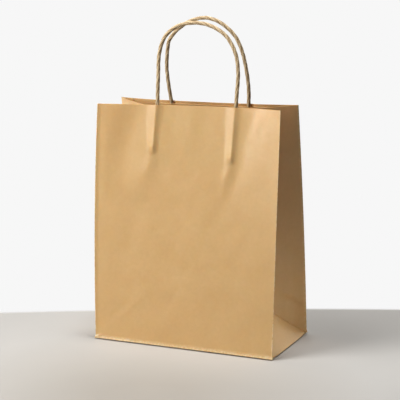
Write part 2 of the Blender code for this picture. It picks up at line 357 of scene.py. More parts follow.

# Colours of the cords: two shades of the paper, then painted shade in its creases and painted shade
# in the grooves between the strands
CORD_SHADE = (0.49, 0.36, 0.20, 1)
CORD_LIGHT = (0.63, 0.49, 0.30, 1)
CORD_CREASE_SHADE = (0.40, 0.29, 0.165, 1)
CORD_GROOVE_SHADE = (0.26, 0.160, 0.075, 1)

# Patterns of the paper: how many patches each has in a metre, how many finer layers, and for
# some how rough these are
CLOUDS = (28.0, 5.0, 0.6)
PULP = (260.0, 4.0, 0.65)
UPRIGHT_FIBRES = (2600.0, 2.0)
LEVEL_FIBRES = (2100.0, 2.0)
SPECKS = (900.0, 2.0)
WEAR_BREAKS = (400.0, 3.0)
SOFT_WAVES = (45.0, 3.0)
CORD_CLOUDS = (120.0, 3.0)

# How fibres and specks are drawn out: scales along X, Y and Z, and a turn about Y
UPRIGHT_STRETCH = ((1.0, 1.0, 0.06), 0.10)
LEVEL_STRETCH = ((0.10, 0.10, 1.0), -0.25)
SPECK_STRETCH = ((1.0, 1.0, 0.25), 0.9)

# The value of each pattern at which it starts to show, and the value at which it shows fully
CLOUD_RANGE = (0.30, 0.70)
PULP_RANGE = (0.35, 0.75)
UPRIGHT_RANGE = (0.62, 0.76)
LEVEL_RANGE = (0.64, 0.78)
SPECK_RANGE = (0.70, 0.80)
BREAK_RANGE = (0.35, 0.65)
# Where the cords' painted shade shows, in the creases and in the grooves between the strands
CREASE_SHADE_RANGE = (0.45, 0.80)
GROOVE_SHADE_RANGE = (0.75, 0.10)

# How strongly each pattern changes the colour
PULP_STRENGTH = 0.30
FIBRE_STRENGTH = 0.22
SPECK_STRENGTH = 0.30
# Paler paint for rubbed paper and painted highlights at the folds and the foot
WEAR_AND_HIGHLIGHT_STRENGTH = 0.75
# Painted shade in the cords' creases and in the grooves between their strands
CREASE_SHADE_STRENGTH = 0.80
GROOVE_SHADE_STRENGTH = 0.90

# How strongly a pattern bends the light on the surface, and how high it stands
SOFT_BUMP = (0.10, 0.004)
FINE_BUMP = (0.18, 0.00012)
CORD_BUMP = (0.5, 0.0002)

# Finish of the paper: its sheen, and the light that passes into it
SMOOTHEST = 0.30
ROUGHEST = 0.42
CORD_ROUGHNESS = 0.72
SHEEN = 0.35
LIGHT_WITHIN = 0.5
LIGHT_COLOURS = (1.0, 0.6, 0.35)
LIGHT_DEPTH = 0.0008

# The view of the photograph, with the camera's sensor in millimetres
AZIMUTH = math.radians(24.18)
PITCH = math.radians(10.81)
ROLL = math.radians(-0.45)
DISTANCE = 5.56 * HEIGHT
TARGET = Vector((-0.003 * HEIGHT, 0.0, 0.592 * HEIGHT))
FOCAL_PIXELS = 1326
FRAME_PIXELS = 400
SENSOR = 36.0

# The floor: a patch of painted shade in front of the bag, warm like light bounced off the bag, and
# white beyond the horizon's circle and away from the bag. Reaches give where a change starts and
# where it ends.
FLOOR_RADIUS = 4.0
FLOOR_SIDES = 96
FLOOR_ROUGHNESS = 0.8
FLOOR_SHEEN = 0.2
FLOOR_CLOUDS = (6.0, 3.0)
FLOOR_CLOUD_SHADE = (0.95, 0.95, 0.95, 1)
SHADE_PATCH_MIDDLE = (0.03, -0.20, 0.0)
SHADE_PATCH_REACH = (0.04, 0.22)
SHADE_PATCH_COLOUR = (0.365, 0.338, 0.300, 1)
FLOOR_COLOUR = (0.475, 0.460, 0.435, 1)
HORIZON_RADIUS = 3.0
HORIZON_MIDDLE = (HORIZON_RADIUS * math.sin(AZIMUTH), -HORIZON_RADIUS * math.cos(AZIMUTH), 0.0)
HORIZON_REACH = (3.103, 3.113)
AROUND_REACH = (0.26, 0.75)
WHITE = (0.93, 0.93, 0.93, 1)
AMBIENT = 0.010
AMBIENT_COLOUR = (1.0, 0.86, 0.68, 1)

# Lights: azimuth, elevation, distance, size and power, then the point that each is aimed at
# and how wide it spreads. Angles are in degrees and powers in watts, and azimuth is measured
# from -Y towards +X.
BAG_MIDDLE = (0.0, 0.0, 0.14)
RIGHT_FOOT = (0.1, 0.0, -0.01)
HANDLES = (0.0, 0.0, 0.335)
LIGHTS = {
    "key": (-42, 18, 1.4, 0.6, 13.7, BAG_MIDDLE, 180),
    "high": (-40, 62, 1.0, 0.4, 6.3, BAG_MIDDLE, 180),
    "top": (90, 86, 1.4, 0.3, 15.6, BAG_MIDDLE, 180),
    "side": (84, 12, 0.6, 0.12, 0.033, RIGHT_FOOT, 30),
    "handles": (118, 14, 0.9, 0.2, 0.015, HANDLES, 22),
}


def smooth(points, steps):
    """Points on a smooth curve through the given ones, with some steps between each two."""
    points = [Vector(p) for p in points]
    ends = [2 * points[0] - points[1]] + points + [2 * points[-1] - points[-2]]
    curve = []
    for a, b, c, d in zip(ends, ends[1:], ends[2:], ends[3:]):
        for i in range(steps):
            t = i / steps
            bend = (2 * a - 5 * b + 4 * c - d) * t ** 2 + (3 * b - a - 3 * c + d) * t ** 3
            curve.append((2 * b + (c - a) * t + bend) / 2)
    return curve + [points[-1]]


def spread(start, end, steps):
    """Evenly spaced values from start to end, both included."""
    return [start + (end - start) * i / steps for i in range(steps + 1)]


def dents_at(dents, u, z):
    """How far the dents and swells move a panel out at a place."""
    total = 0.0
    for du, dz, length, width, slant, rise in dents:
        angle = math.radians(slant)
        along = (u - du) * math.sin(angle) + (z - dz) * math.cos(angle)
        across = (u - du) * math.cos(angle) - (z - dz) * math.sin(angle)
        total += rise * math.exp(-(along / length) ** 2 - (across / width) ** 2)
    return total


class Fold:
    """One of the bag's four upright edges. side is -1 at the left, face is -1 at the front."""

    def __init__(self, side, face, lean, shift, bow=0.0):
        self.side = side
        self.face = face
        self.lean = lean
        self.shift = shift
        self.bow = bow

    def at(self, z):
        t = z / HEIGHT
        x = self.side * (WIDTH / 2 + 4 * self.bow * t * (1 - t)) + self.shift * t
        y = self.face * (DEPTH / 2 - self.lean * t)
        return Vector((x, y, z))


class Panel:
    """The front or back panel, between two folds, with the route of the cord it carries."""

    def __init__(self, name, face, left, right, dip, skew, cord_lean, route, dents):
        self.name = name
        self.face = face
        self.left = left
        self.right = right
        self.dip = dip
        self.skew = skew
        self.cord_lean = cord_lean
        self.dents = dents
        self.route = smooth(route, ROUTE_STEPS)
        half = len(self.route) // 2
        self.legs = [self.route[:half], self.route[half:][::-1]]

    def width(self, z):
        return self.right.at(z).x - self.left.at(z).x

    def leg_u(self, leg, z):
        """Where a leg of the cord crosses height z, or where it ends if that is above z."""
        heights = [HEIGHT + p.y for p in leg]
        top = int(np.argmax(heights))
        return float(np.interp(z, heights[:top + 1], [p.x for p in leg[:top + 1]]))

    def rise(self, u, z):
        """Height of the ridges over the cord's two ends, above the plain panel."""
        total = 0.0
        for leg in self.legs:
            below = (HEIGHT + leg[0].y - z) / RIDGE_FADE
            if below >= 1:
                continue
            down = (HEIGHT - z) / -leg[0].y
            away = u - self.leg_u(leg, z)
            flank = RIGHT_FLANK if away > 0 else LEFT_FLANK
            hollow = RIGHT_HOLLOW if away > 0 else LEFT_HOLLOW
            away = math.hypot(away / (flank * (1 - NARROWING * down)), CREST) - CREST
            if away < 1:
                fade = 1 - max(below, 0.0)
                total += RIDGE_RISE * (1 - away) ** hollow * fade ** 2 * (3 - 2 * fade)
        return total

    def seam_start(self, z):
        return SEAM_INSET - self.width(z) / 2

    def seam_rise(self, u, z):
        """How far the back panel's outer face stands out over the glued seam."""
        over = u - self.seam_start(z)
        if self.face < 0 or over <= 0:
            return 0.0
        fade = (SEAM_WIDTH + SEAM_FADE - over) / SEAM_FADE
        return PAPER * min(over / SEAM_EDGE, 1.0) * min(max(fade, 0.0), 1.0)

    def ear_rise(self, u, z):
        """A pinched crease that runs up from the front panel's lower left corner."""
        reach = u + self.width(z) / 2
        along = reach * math.cos(EAR_ANGLE) + (z - EAR_START) * math.sin(EAR_ANGLE)
        across = (z - EAR_START) * math.cos(EAR_ANGLE) - reach * math.sin(EAR_ANGLE)
        if self.face > 0 or not 0 < along < EAR_LENGTH:
            return 0.0
        return EAR_RISE * math.exp(-(across / EAR_WIDTH) ** 2) * (1 - along / EAR_LENGTH)

    def unevenness(self, u, z):
        """Soft waves and finer ripples of the paper."""
        wave = (u * WAVES_ACROSS + PANEL_PLACE * self.face, z * WAVES_UP, WAVE_PLACE)
        ripple = (u * RIPPLES_ACROSS, z * RIPPLES_UP + u * RIPPLE_SLANT, RIPPLE_PLACE + self.face)
        return WAVE_RISE * noise.noise(wave) + RIPPLE_RISE * noise.noise(ripple)

    def relief(self, u, z):
        """Dents and unevenness, which fade out at the folds and the bottom, and the groove."""
        edge = min((self.width(z) / 2 - abs(u)) / MARGIN, z / MARGIN, 1.0)
        away = self.width(z) / 2 + self.face * -u
        beside = 1 - math.exp(-(away / GROOVE_WIDTH) ** 2)
        groove = GROOVE_DEPTH * beside * math.exp(-away / GROOVE_REACH) * min(z / GROOVE_START, 1.0)
        return (dents_at(self.dents, u, z) + self.unevenness(u, z)) * max(edge, 0.0) - groove

    def point(self, u, z, inward=0.0, swell=1.0):
        """A point at some depth in the panel. Ridges point out, or in where swell is -1."""
        across = 0.5 + u / self.width(z)
        s = 2 * across - 1
        p = self.left.at(z).lerp(self.right.at(z), across)
        dip = self.dip * (z / HEIGHT) ** DIP_POWER * (1 - abs(s) ** 3) * (1 + self.skew * s)
        out = swell * self.rise(u, z) + self.relief(u, z)
        out += self.seam_rise(u, z) + self.ear_rise(u, z)
        p.y -= self.face * (dip + inward - out)
        return p

    def cord_point(self, p):
        """Where a point of the cord's route lies: in the panel's layers, or above the rim."""
        below = self.point(p.x, HEIGHT + min(p.y, 0.0), CORD_DEPTH, 0.0)
        above = max(p.y, 0.0)
        return below + Vector((0.0, -self.face * math.tan(self.cord_lean) * above, above))

    def strip_ends(self):
        """The u of both ends of the paper strips, which are centred on the cord's legs."""
        middle = sum(self.leg_u(leg, HEIGHT) for leg in self.legs) / 2
        return middle - STRIP_WIDTH / 2, middle + STRIP_WIDTH / 2

    def strip_columns(self, z):
        """The u of the mesh's columns over the strips alone, at height z."""
        first, last = self.strip_ends()
        ridges = []
        for leg in self.legs:
            u = self.leg_u(leg, z)
            left = [u - LEFT_FLANK * (k / LEFT_FLANK_COLUMNS) ** FLANK_GRADING
                    for k in range(LEFT_FLANK_COLUMNS, 0, -1)]
            right = [u + RIGHT_FLANK * (k / RIGHT_FLANK_COLUMNS) ** FLANK_GRADING
                     for k in range(RIGHT_FLANK_COLUMNS + 1)]
            ridges.append(left + right)
        columns = spread(first, ridges[0][0], STRIP_END_COLUMNS)[:-1] + ridges[0]
        columns += spread(ridges[0][-1], ridges[1][0], BETWEEN_COLUMNS)[1:-1] + ridges[1]
        return columns + spread(ridges[1][-1], last, STRIP_END_COLUMNS)[1:]

    def columns(self, z):
        """The u of the mesh's columns over the whole panel, at height z."""
        first, last = self.strip_ends()
        edge = self.width(z) / 2 - FOLD_RADIUS
        left = [-edge + (first + edge) * (k / OUTER_COLUMNS) ** FOLD_GRADING
                for k in range(OUTER_COLUMNS)]
        if self.face > 0:
            start = self.seam_start(z)
            left = [-edge + (start + edge) * (k / SEAM_COLUMNS) ** FOLD_GRADING
                    for k in range(SEAM_COLUMNS + 1)]
            left += spread(start + SEAM_EDGE, start + SEAM_WIDTH, LAP_COLUMNS)
            left += spread(start + SEAM_WIDTH + SEAM_FADE, first, BESIDE_LAP_COLUMNS)[:-1]
        right = [edge - (edge - last) * (k / OUTER_COLUMNS) ** FOLD_GRADING
                 for k in range(OUTER_COLUMNS - 1, -1, -1)]
        return left + self.strip_columns(z) + right


FRONT_LEFT = Fold(-1, -1, FRONT_LEFT_LEAN, FRONT_LEFT_SHIFT, FRONT_LEFT_BOW)
FRONT_RIGHT = Fold(1, -1, FRONT_RIGHT_LEAN, FRONT_RIGHT_SHIFT)
BACK_RIGHT = Fold(1, 1, BACK_RIGHT_LEAN, BACK_RIGHT_SHIFT, BACK_RIGHT_BOW)
BACK_LEFT = Fold(-1, 1, BACK_LEFT_LEAN, BACK_LEFT_SHIFT)
FRONT = Panel("front", -1, FRONT_LEFT, FRONT_RIGHT, FRONT_DIP, FRONT_DIP_SKEW, FRONT_CORD_LEAN,
              FRONT_ROUTE, FRONT_DENTS)
BACK = Panel("back", 1, BACK_LEFT, BACK_RIGHT, BACK_DIP, 0.0, BACK_CORD_LEAN,
             BACK_ROUTE, BACK_DENTS)


def side_crease(front, back, z):
    """The folded-in middle line of a side."""
    half = DEPTH / 2
    side = front.side
    tip = Vector((side * (WIDTH / 2 - math.sqrt(half ** 2 - TIP_HEIGHT ** 2)), 0.0, TIP_HEIGHT))
    rim = (front.at(HEIGHT) + back.at(HEIGHT)) / 2
    rim_half = (back.at(HEIGHT).y - front.at(HEIGHT).y) / 2
    rim.x -= side * math.sqrt(half ** 2 - rim_half ** 2)
    rim.z -= CREASE_DROP
    return tip.lerp(rim, z / HEIGHT)


def side_bow(fold, t, height, z):
    """How far half a side bows out, part t of the way from its fold to the middle line."""
    middle = math.sin(math.pi * t)
    bow = SIDE_BOW * middle * min(z / SIDE_BOW_START, 1.0)
    wave = (t * SIDE_WAVES_ACROSS + fold.side, z * SIDE_WAVES_UP, fold.face * SIDE_PLACE)
    bow += SIDE_WAVE_RISE * noise.noise(wave) * middle
    bend = min(t / BEND_PLACE, (1 - t) / (1 - BEND_PLACE))
    bow += BEND_RISE * bend * min(max((BEND_TOP - z) / BEND_FADE, 0.0), 1.0)
    if fold.face > 0:
        bow += POCKET_RISE * bend * min(max((POCKET_HEIGHT - z) / POCKET_FADE, 0.0), 1.0)
    above = (height - BUCKLE_HEIGHT - BUCKLE_TILT * fold.face * t) / BUCKLE_WIDTH
    reach = math.sin(math.pi * min(t * BUCKLE_REACH, 1.0))
    return bow - BUCKLE_DEPTH * math.exp(-above ** 2) * reach


def side_half(fold, crease, z, reverse):
    """Points of half a side, from its fold to the middle line or back."""
    start = fold.at(z)
    normal = (crease - start).cross(Vector((0.0, 0.0, 1.0))).normalized()
    if normal.x * fold.side < 0:
        normal.negate()
    points = []
    for i in range(1, SIDE_STEPS):
        t = i / SIDE_STEPS
        p = start.lerp(crease, t)
        points.append(p + normal * side_bow(fold, t, p.z, z))
    return points[::-1] if reverse else points


def corner(before, fold_point, after):
    """A fold with a small round, between its two neighbours on the sheet."""
    a = fold_point + (before - fold_point).normalized() * FOLD_RADIUS
    b = fold_point + (after - fold_point).normalized() * FOLD_RADIUS
    arc = []
    for i in range(CORNER_POINTS):
        t = i / (CORNER_POINTS - 1)
        arc.append(a * (1 - t) ** 2 + fold_point * 2 * t * (1 - t) + b * t ** 2)
    return arc


def ring(z):
    """The bag's outer face at one height, all the way round from the front left fold."""
    front = [FRONT.point(u, z) for u in FRONT.columns(z)]
    back = [BACK.point(u, z) for u in BACK.columns(z)][::-1]
    right_crease = side_crease(FRONT_RIGHT, BACK_RIGHT, z)
    left_crease = side_crease(FRONT_LEFT, BACK_LEFT, z)
    points = []
    for panel, fold, next_fold, crease, next_panel in (
            (front, FRONT_RIGHT, BACK_RIGHT, right_crease, back),
            (back, BACK_LEFT, FRONT_LEFT, left_crease, front)):
        first = side_half(fold, crease, z, False)
        second = side_half(next_fold, crease, z, True)
        points += panel
        points += corner(panel[-1], fold.at(z), first[0])
        points += first + corner(first[-1], crease, second[0]) + second
        points += corner(second[-1], next_fold.at(z), next_panel[0])
    return points


def tuck_in(points):
    """The sheet's bottom edge, kicked out at the foot and turned under towards the flaps."""
    for p in points:
        turn = min(max((LIP_TOP - p.z) / (LIP_TOP - LIP_BOTTOM), 0.0), 1.0)
        inset = TUCK * turn ** 2 * (3 - 2 * turn)
        along = p.x / WIDTH + 0.5
        kick = KICK * (1.0 - KICK_SAG * along * (1 - along))
        inset -= kick * max(1 - p.z / KICK_HEIGHT, 0.0) ** 2
        p.x *= 1 - inset / (WIDTH / 2)
        p.y *= 1 - inset / (DEPTH / 2)
    return points


def wear_and_highlight_of(row, z):
    """How pale each point of a ring is painted: most at the folds, for rubbed paper with a painted
    highlight, and at the foot of the panels, for a painted highlight.
    """
    worn_and_highlighted = [0.0] * len(row)
    front_count = len(FRONT.columns(z))
    back_count = len(BACK.columns(z))
    back_start = front_count + SIDE_POINTS
    # Rubbed paper with a painted highlight at the folds and at the sides' middle lines
    for side_start in (front_count, back_start + back_count):
        middle = side_start + CORNER_POINTS + SIDE_STEPS - 1
        last = side_start + SIDE_POINTS - CORNER_POINTS
        for start, most in ((side_start, FOLD_WEAR_AND_HIGHLIGHT), (middle, CREASE_WEAR_AND_HIGHLIGHT), (last, FOLD_WEAR_AND_HIGHLIGHT)):
            for k in range(CORNER_POINTS):
                inner = 0 < k < CORNER_POINTS - 1
                worn_and_highlighted[start + k] = most if inner else BESIDE_FOLD * most
    seam = back_start + back_count - 1 - SEAM_COLUMNS
    worn_and_highlighted[seam - 1:seam + 1] = [SEAM_WEAR, SEAM_WEAR]
    # A painted highlight along the foot of both panels
    foot = FOOT_HIGHLIGHT * (1 - min(z / KICK_HEIGHT, 1.0))
    for start, count in ((0, front_count), (back_start, back_count)):
        worn_and_highlighted[start:start + count] = [max(w, foot) for w in worn_and_highlighted[start:start + count]]
    return worn_and_highlighted


def bag_rows():
    """Heights of the mesh rows: close together at the bottom edge and over the strips."""
    rows = [PAPER] + spread(*LIP_ROWS) + spread(*FOOT_ROWS)
    return rows + spread(*WALL_ROWS)[1:] + spread(*UPPER_ROWS)[1:] + [HEIGHT]


def grid_faces(rows, columns, closed):
    """Quads between neighbouring rows of points."""
    faces = []
    for i in range(rows - 1):
        for j in range(columns if closed else columns - 1):
            a = i * columns + j
            b = i * columns + (j + 1) % columns
            faces.append((a, b, b + columns, a + columns))
    return faces


def new_piece(name, points, faces, material):
    """A smooth mesh of its own in the scene."""
    mesh = bpy.data.meshes.new(name)
    mesh.from_pydata([tuple(p) for p in points], [], faces)
    mesh.validate()
    mesh.shade_smooth()
    mesh.materials.append(material)
    piece = bpy.data.objects.new(name, mesh)
    bpy.context.scene.collection.objects.link(piece)
    return piece


def face_out(piece):
    """Turns all faces of a closed mesh outwards."""
    bm = bmesh.new()
    bm.from_mesh(piece.data)
    bmesh.ops.recalc_face_normals(bm, faces=bm.faces)
    bm.to_mesh(piece.data)
    bm.free()


def set_values(piece, name, values):
    """Keeps one number for each point of a mesh, for its material to read."""
    layer = piece.data.attributes.new(name, "FLOAT", "POINT")
    layer.data.foreach_set("value", values)


def thicken(piece):
    """Gives a sheet its thickness, inwards from the face that its normals point out of."""
    solid = piece.modifiers.new("thickness", "SOLIDIFY")
    solid.thickness = PAPER
    solid.offset = -1.0


def make_wall(material):
    """The standing part of the sheet: both panels, both folded sides and the bottom edge."""
    rows = bag_rows()
    points = []
    worn_and_highlighted = []
    for z in rows:
        row = ring(z)
        # Paler paint at the folds and the foot: rubbed paper and painted highlights
        worn_and_highlighted += wear_and_highlight_of(row, z)
        points += tuck_in(row)
    count = len(points) // len(rows)
    piece = new_piece("paper_sheet", points, grid_faces(len(rows), count, True), material)
    set_values(piece, "wear_and_highlight", worn_and_highlighted)
    thicken(piece)
    return piece


def make_triangle(name, row, material):
    """The sheet's triangle at the foot of a side, from the side's lowest row to the bottom."""
    side = 1 if row[0].x > 0 else -1
    places = [0.0, EDGE / TIP_HEIGHT] + spread(*TRIANGLE_ROWS) + spread(*TRIANGLE_FOOT_ROWS)
    points = []
    for place in places:
        for p in row:
            foot = Vector((side * WIDTH / 2, p.y, PAPER))
            points += tuck_in([p.lerp(foot, place)])
    faces = grid_faces(len(places), len(row), False)
    piece = new_piece(name, points, [face[::-1] for face in faces], material)
    # Rubbed paper with a painted highlight along the triangle's upper edge
    worn_and_highlighted = [CREASE_WEAR_AND_HIGHLIGHT] * len(row) + [0.0] * (len(points) - len(row))
    set_values(piece, "wear_and_highlight", worn_and_highlighted)
    thicken(piece)
    return piece


def make_triangles(material):
    """Both side triangles, each below its own part of the lowest ring."""
    row = ring(PAPER)
    halfway = CORNER_POINTS // 2
    right_end = len(FRONT.columns(PAPER)) + SIDE_POINTS
    right = row[right_end - SIDE_POINTS + halfway:right_end - halfway]
    left = row[len(row) - SIDE_POINTS + halfway:len(row) - halfway]
    return [make_triangle("right_side_triangle", right, material),
            make_triangle("left_side_triangle", left, material)]


def make_strip(panel, which, depth, swell, material):
    """One of the two paper strips that hold a cord's ends, with its outer face at a depth."""
    bottom = HEIGHT - STRIP_DROP - STRIP_HEIGHT
    top = HEIGHT - STRIP_DROP
    rows = [bottom] + spread(bottom + EDGE, top - EDGE, STRIP_ROWS) + [top]
    points = []
    for z in rows:
        points += [panel.point(u, z, depth, swell) for u in panel.strip_columns(z)]
    count = len(points) // len(rows)
    faces = grid_faces(len(rows), count, False)
    if panel.face > 0:
        faces = [face[::-1] for face in faces]
    piece = new_piece(f"{panel.name}_{which}_paper", points, faces, material)
    thicken(piece)
    return piece


def groove_at(angle):
    """0 in a groove between two strands, and 1 on the middle of a strand."""
    return abs(math.sin(STRANDS * angle / 2))


def crease_at(angle, along):
    """Long creases of the rolled paper, which turn with the strands, from 0 to 1."""
    x = math.cos(angle) * CREASES_ROUND
    y = math.sin(angle) * CREASES_ROUND
    fold = noise.noise((x, y, along * CREASES_ALONG))
    return min(max(0.5 + CREASE_CONTRAST * fold, 0.0), 1.0)


def cord_radius(angle, along):
    """The twisted cord's radius at an angle that turns with the strands."""
    x = math.cos(angle) * LUMPS_ROUND
    y = math.sin(angle) * LUMPS_ROUND
    radius = CORE + STRAND_RISE * groove_at(angle) ** STRAND_SHAPE
    radius -= CREASE_DEPTH * crease_at(angle, along)
    radius += LUMP_RISE * noise.noise((x, y, along * LUMPS_ALONG + LUMP_PLACE))
    return CORD / 2 * radius


def cord_centres(panel):
    """Evenly spaced points on a cord's middle line, and how far along it each one is."""
    path = [panel.cord_point(p)
            for p in smooth([(p.x, p.y, 0.0) for p in panel.route], PATH_STEPS)]
    lengths = [0.0]
    for a, b in zip(path, path[1:]):
        lengths.append(lengths[-1] + (b - a).length)
    coordinates = np.array([tuple(p) for p in path])
    where = np.linspace(0.0, lengths[-1], int(lengths[-1] / CORD_STEP) + 1)
    centres = [Vector([float(np.interp(s, lengths, coordinates[:, k])) for k in range(3)])
               for s in where]
    return centres, where


def make_cord(panel, material):
    """A cord of twisted paper along its whole route."""
    centres, where = cord_centres(panel)
    count = len(centres) - 1
    points = []
    heights = []
    creases = []
    side = Vector((0.0, 1.0, 0.0))
    for i, centre in enumerate(centres):
        ahead = (centres[min(i + AHEAD, count)] - centres[max(i - AHEAD, 0)]).normalized()
        side = (side - ahead * side.dot(ahead)).normalized()
        up = ahead.cross(side)
        turn = 2 * math.pi * where[i] / TWIST_LENGTH
        along = where[i] + CORD_PLACE * panel.face
        for k in range(CORD_SIDES):
            angle = 2 * math.pi * k / CORD_SIDES
            radius = cord_radius(angle - turn, along)
            heights.append(groove_at(angle - turn))
            creases.append(crease_at(angle - turn, along))
            points.append(centre + (side * math.cos(angle) + up * math.sin(angle)) * radius)
    faces = grid_faces(count + 1, CORD_SIDES, True)
    faces.append(tuple(range(CORD_SIDES - 1, -1, -1)))
    faces.append(tuple(range(count * CORD_SIDES, (count + 1) * CORD_SIDES)))
    piece = new_piece(f"{panel.name}_cord", points, faces, material)
    face_out(piece)
    set_values(piece, "strand", heights)
    set_values(piece, "crease", creases)
    return piece


def flat_sheet(name, outline, z, material):
    """A flat piece of the sheet in the bottom, with its lower face at height z."""
    points = [Vector((x, y, z)) for x, y in outline]
    piece = new_piece(name, points, [tuple(range(len(points)))[::-1]], material)
    thicken(piece)
    return piece


def make_bottom(material):
    """The bottom's two lapped flaps, and the side flaps on top of them."""
    half_x = WIDTH / 2 - TUCK
    half_y = DEPTH / 2 - TUCK
    reach = WIDTH / 2 - DEPTH / 2
    lap = FLAP_LAP / 2
    flap = [(-half_x, -half_y), (half_x, -half_y), (reach, 0.0), (reach - lap, lap),
            (lap - reach, lap), (-reach, 0.0)]
    back_flap = [(x, -y) for x, y in flap][::-1]
    floor = [(-half_x, -half_y), (half_x, -half_y), (half_x, half_y), (-half_x, half_y)]
    return [flat_sheet("front_bottom_flap", flap, FLAP_LEVELS[0], material),
            flat_sheet("back_bottom_flap", back_flap, FLAP_LEVELS[1], material),
            flat_sheet("side_bottom_flaps", floor, FLAP_LEVELS[2], material)]


class Nodes:
    """A material's node tree, with short calls to add and join nodes."""

    def __init__(self, name):
        self.material = bpy.data.materials.new(name)
        self.material.use_nodes = True
        self.tree = self.material.node_tree
        self.shader = self.tree.nodes["Principled BSDF"]
        self.place = self.add("TexCoord").outputs["Object"]

    def add(self, kind, inputs=None, **settings):
        node = self.tree.nodes.new("ShaderNode" + kind)
        for key, value in settings.items():
            setattr(node, key, value)
        for key, value in (inputs or {}).items():
            self.put(node, key, value)
        return node

    def put(self, node, key, value):
        if isinstance(value, bpy.types.NodeSocket):
            self.tree.links.new(value, node.inputs[key])
        else:
            node.inputs[key].default_value = value

    def noise(self, vector, scale, detail, roughness=0.5):
        node = self.add("TexNoise", {"Vector": vector, "Scale": scale, "Detail": detail,
                                     "Roughness": roughness})
        return node.outputs["Fac"]

    def stretched(self, scale, turn):
        node = self.add("Mapping", {"Vector": self.place, "Scale": scale,
                                    "Rotation": (0.0, turn, 0.0)})
        return node.outputs["Vector"]

    def value_of(self, attribute):
        return self.add("Attribute", attribute_name=attribute).outputs["Fac"]

    def ramp(self, value, low, high, kind="LINEAR"):
        """Values from low to high turned into 0 to 1."""
        node = self.add("MapRange", {"Value": value, "From Min": low, "From Max": high},
                        interpolation_type=kind)
        return node.outputs["Result"]

    def between(self, value, low, high):
        """Values from 0 to 1 turned into low to high."""
        node = self.add("MapRange", {"Value": value, "To Min": low, "To Max": high})
        return node.outputs["Result"]

    def away_from(self, point):
        node = self.add("VectorMath", {0: self.place, 1: point}, operation="DISTANCE")
        return node.outputs["Value"]

    def math(self, operation, a, b):
        node = self.add("Math", {0: a, 1: b}, operation=operation)
        return node.outputs["Value"]

    def mix(self, factor, a, b, blend="MIX"):
        node = self.add("Mix", data_type="RGBA", blend_type=blend)
        self.put(node, 0, factor)
        self.put(node, 6, a)
        self.put(node, 7, b)
        return node.outputs[2]

    def tint(self, colour, other, pattern, strength):
        """A colour with another one over it where a pattern shows."""
        return self.mix(self.math("MULTIPLY", pattern, strength), colour, other)

    def bump(self, height, strength, distance, normal=None):
        node = self.add("Bump", {"Height": height, "Strength": strength, "Distance": distance})
        if normal is not None:
            self.put(node, "Normal", normal)
        return node.outputs["Normal"]


def kraft_material(name, colours):
    """Kraft paper: cloudy pulp, fine long fibres both ways, and a slightly napped face."""
    light, middle, dark, worn_and_highlighted = colours
    m = Nodes(name)
    clouds = m.ramp(m.noise(m.place, *CLOUDS), *CLOUD_RANGE)
    pulp = m.noise(m.place, *PULP)
    upright = m.ramp(m.noise(m.stretched(*UPRIGHT_STRETCH), *UPRIGHT_FIBRES), *UPRIGHT_RANGE)
    level = m.ramp(m.noise(m.stretched(*LEVEL_STRETCH), *LEVEL_FIBRES), *LEVEL_RANGE)
    fibres = m.math("MAXIMUM", upright, level)
    specks = m.ramp(m.noise(m.stretched(*SPECK_STRETCH), *SPECKS), *SPECK_RANGE)
    breaks = m.ramp(m.noise(m.place, *WEAR_BREAKS), *BREAK_RANGE)
    colour = m.mix(clouds, middle, light)
    colour = m.tint(colour, dark, m.ramp(pulp, *PULP_RANGE), PULP_STRENGTH)
    colour = m.tint(colour, light, fibres, FIBRE_STRENGTH)
    colour = m.tint(colour, dark, specks, SPECK_STRENGTH)
    # Paler colour where the paper is rubbed and where a highlight is painted, at the folds and
    # along the foot
    colour = m.tint(colour, worn_and_highlighted, m.math("MULTIPLY", m.value_of("wear_and_highlight"), breaks), WEAR_AND_HIGHLIGHT_STRENGTH)
    m.put(m.shader, "Base Color", colour)
    m.put(m.shader, "Roughness", m.between(pulp, SMOOTHEST, ROUGHEST))
    m.put(m.shader, "Specular IOR Level", SHEEN)
    m.put(m.shader, "Subsurface Weight", LIGHT_WITHIN)
    m.put(m.shader, "Subsurface Radius", LIGHT_COLOURS)
    m.put(m.shader, "Subsurface Scale", LIGHT_DEPTH)
    soft = m.bump(m.noise(m.place, *SOFT_WAVES), *SOFT_BUMP)
    m.put(m.shader, "Normal", m.bump(m.math("ADD", fibres, pulp), *FINE_BUMP, soft))
    return m.material


def cord_material():
    """Twisted paper: each strand is a rolled strip with long creases, with painted shade in the
    creases and in the grooves between the strands.
    """
    m = Nodes("twisted_paper")
    creases = m.value_of("crease")
    groove_shade = m.ramp(m.value_of("strand"), *GROOVE_SHADE_RANGE)
    clouds = m.ramp(m.noise(m.place, *CORD_CLOUDS), *CLOUD_RANGE)
    colour = m.mix(clouds, CORD_SHADE, CORD_LIGHT)
    # Painted shade in the creases and in the grooves between the strands
    colour = m.tint(colour, CORD_CREASE_SHADE, m.ramp(creases, *CREASE_SHADE_RANGE), CREASE_SHADE_STRENGTH)
    colour = m.tint(colour, CORD_GROOVE_SHADE, groove_shade, GROOVE_SHADE_STRENGTH)
    m.put(m.shader, "Base Color", colour)
    m.put(m.shader, "Roughness", CORD_ROUGHNESS)
    m.put(m.shader, "Specular IOR Level", SHEEN)
    m.put(m.shader, "Normal", m.bump(creases, *CORD_BUMP))
    return m.material


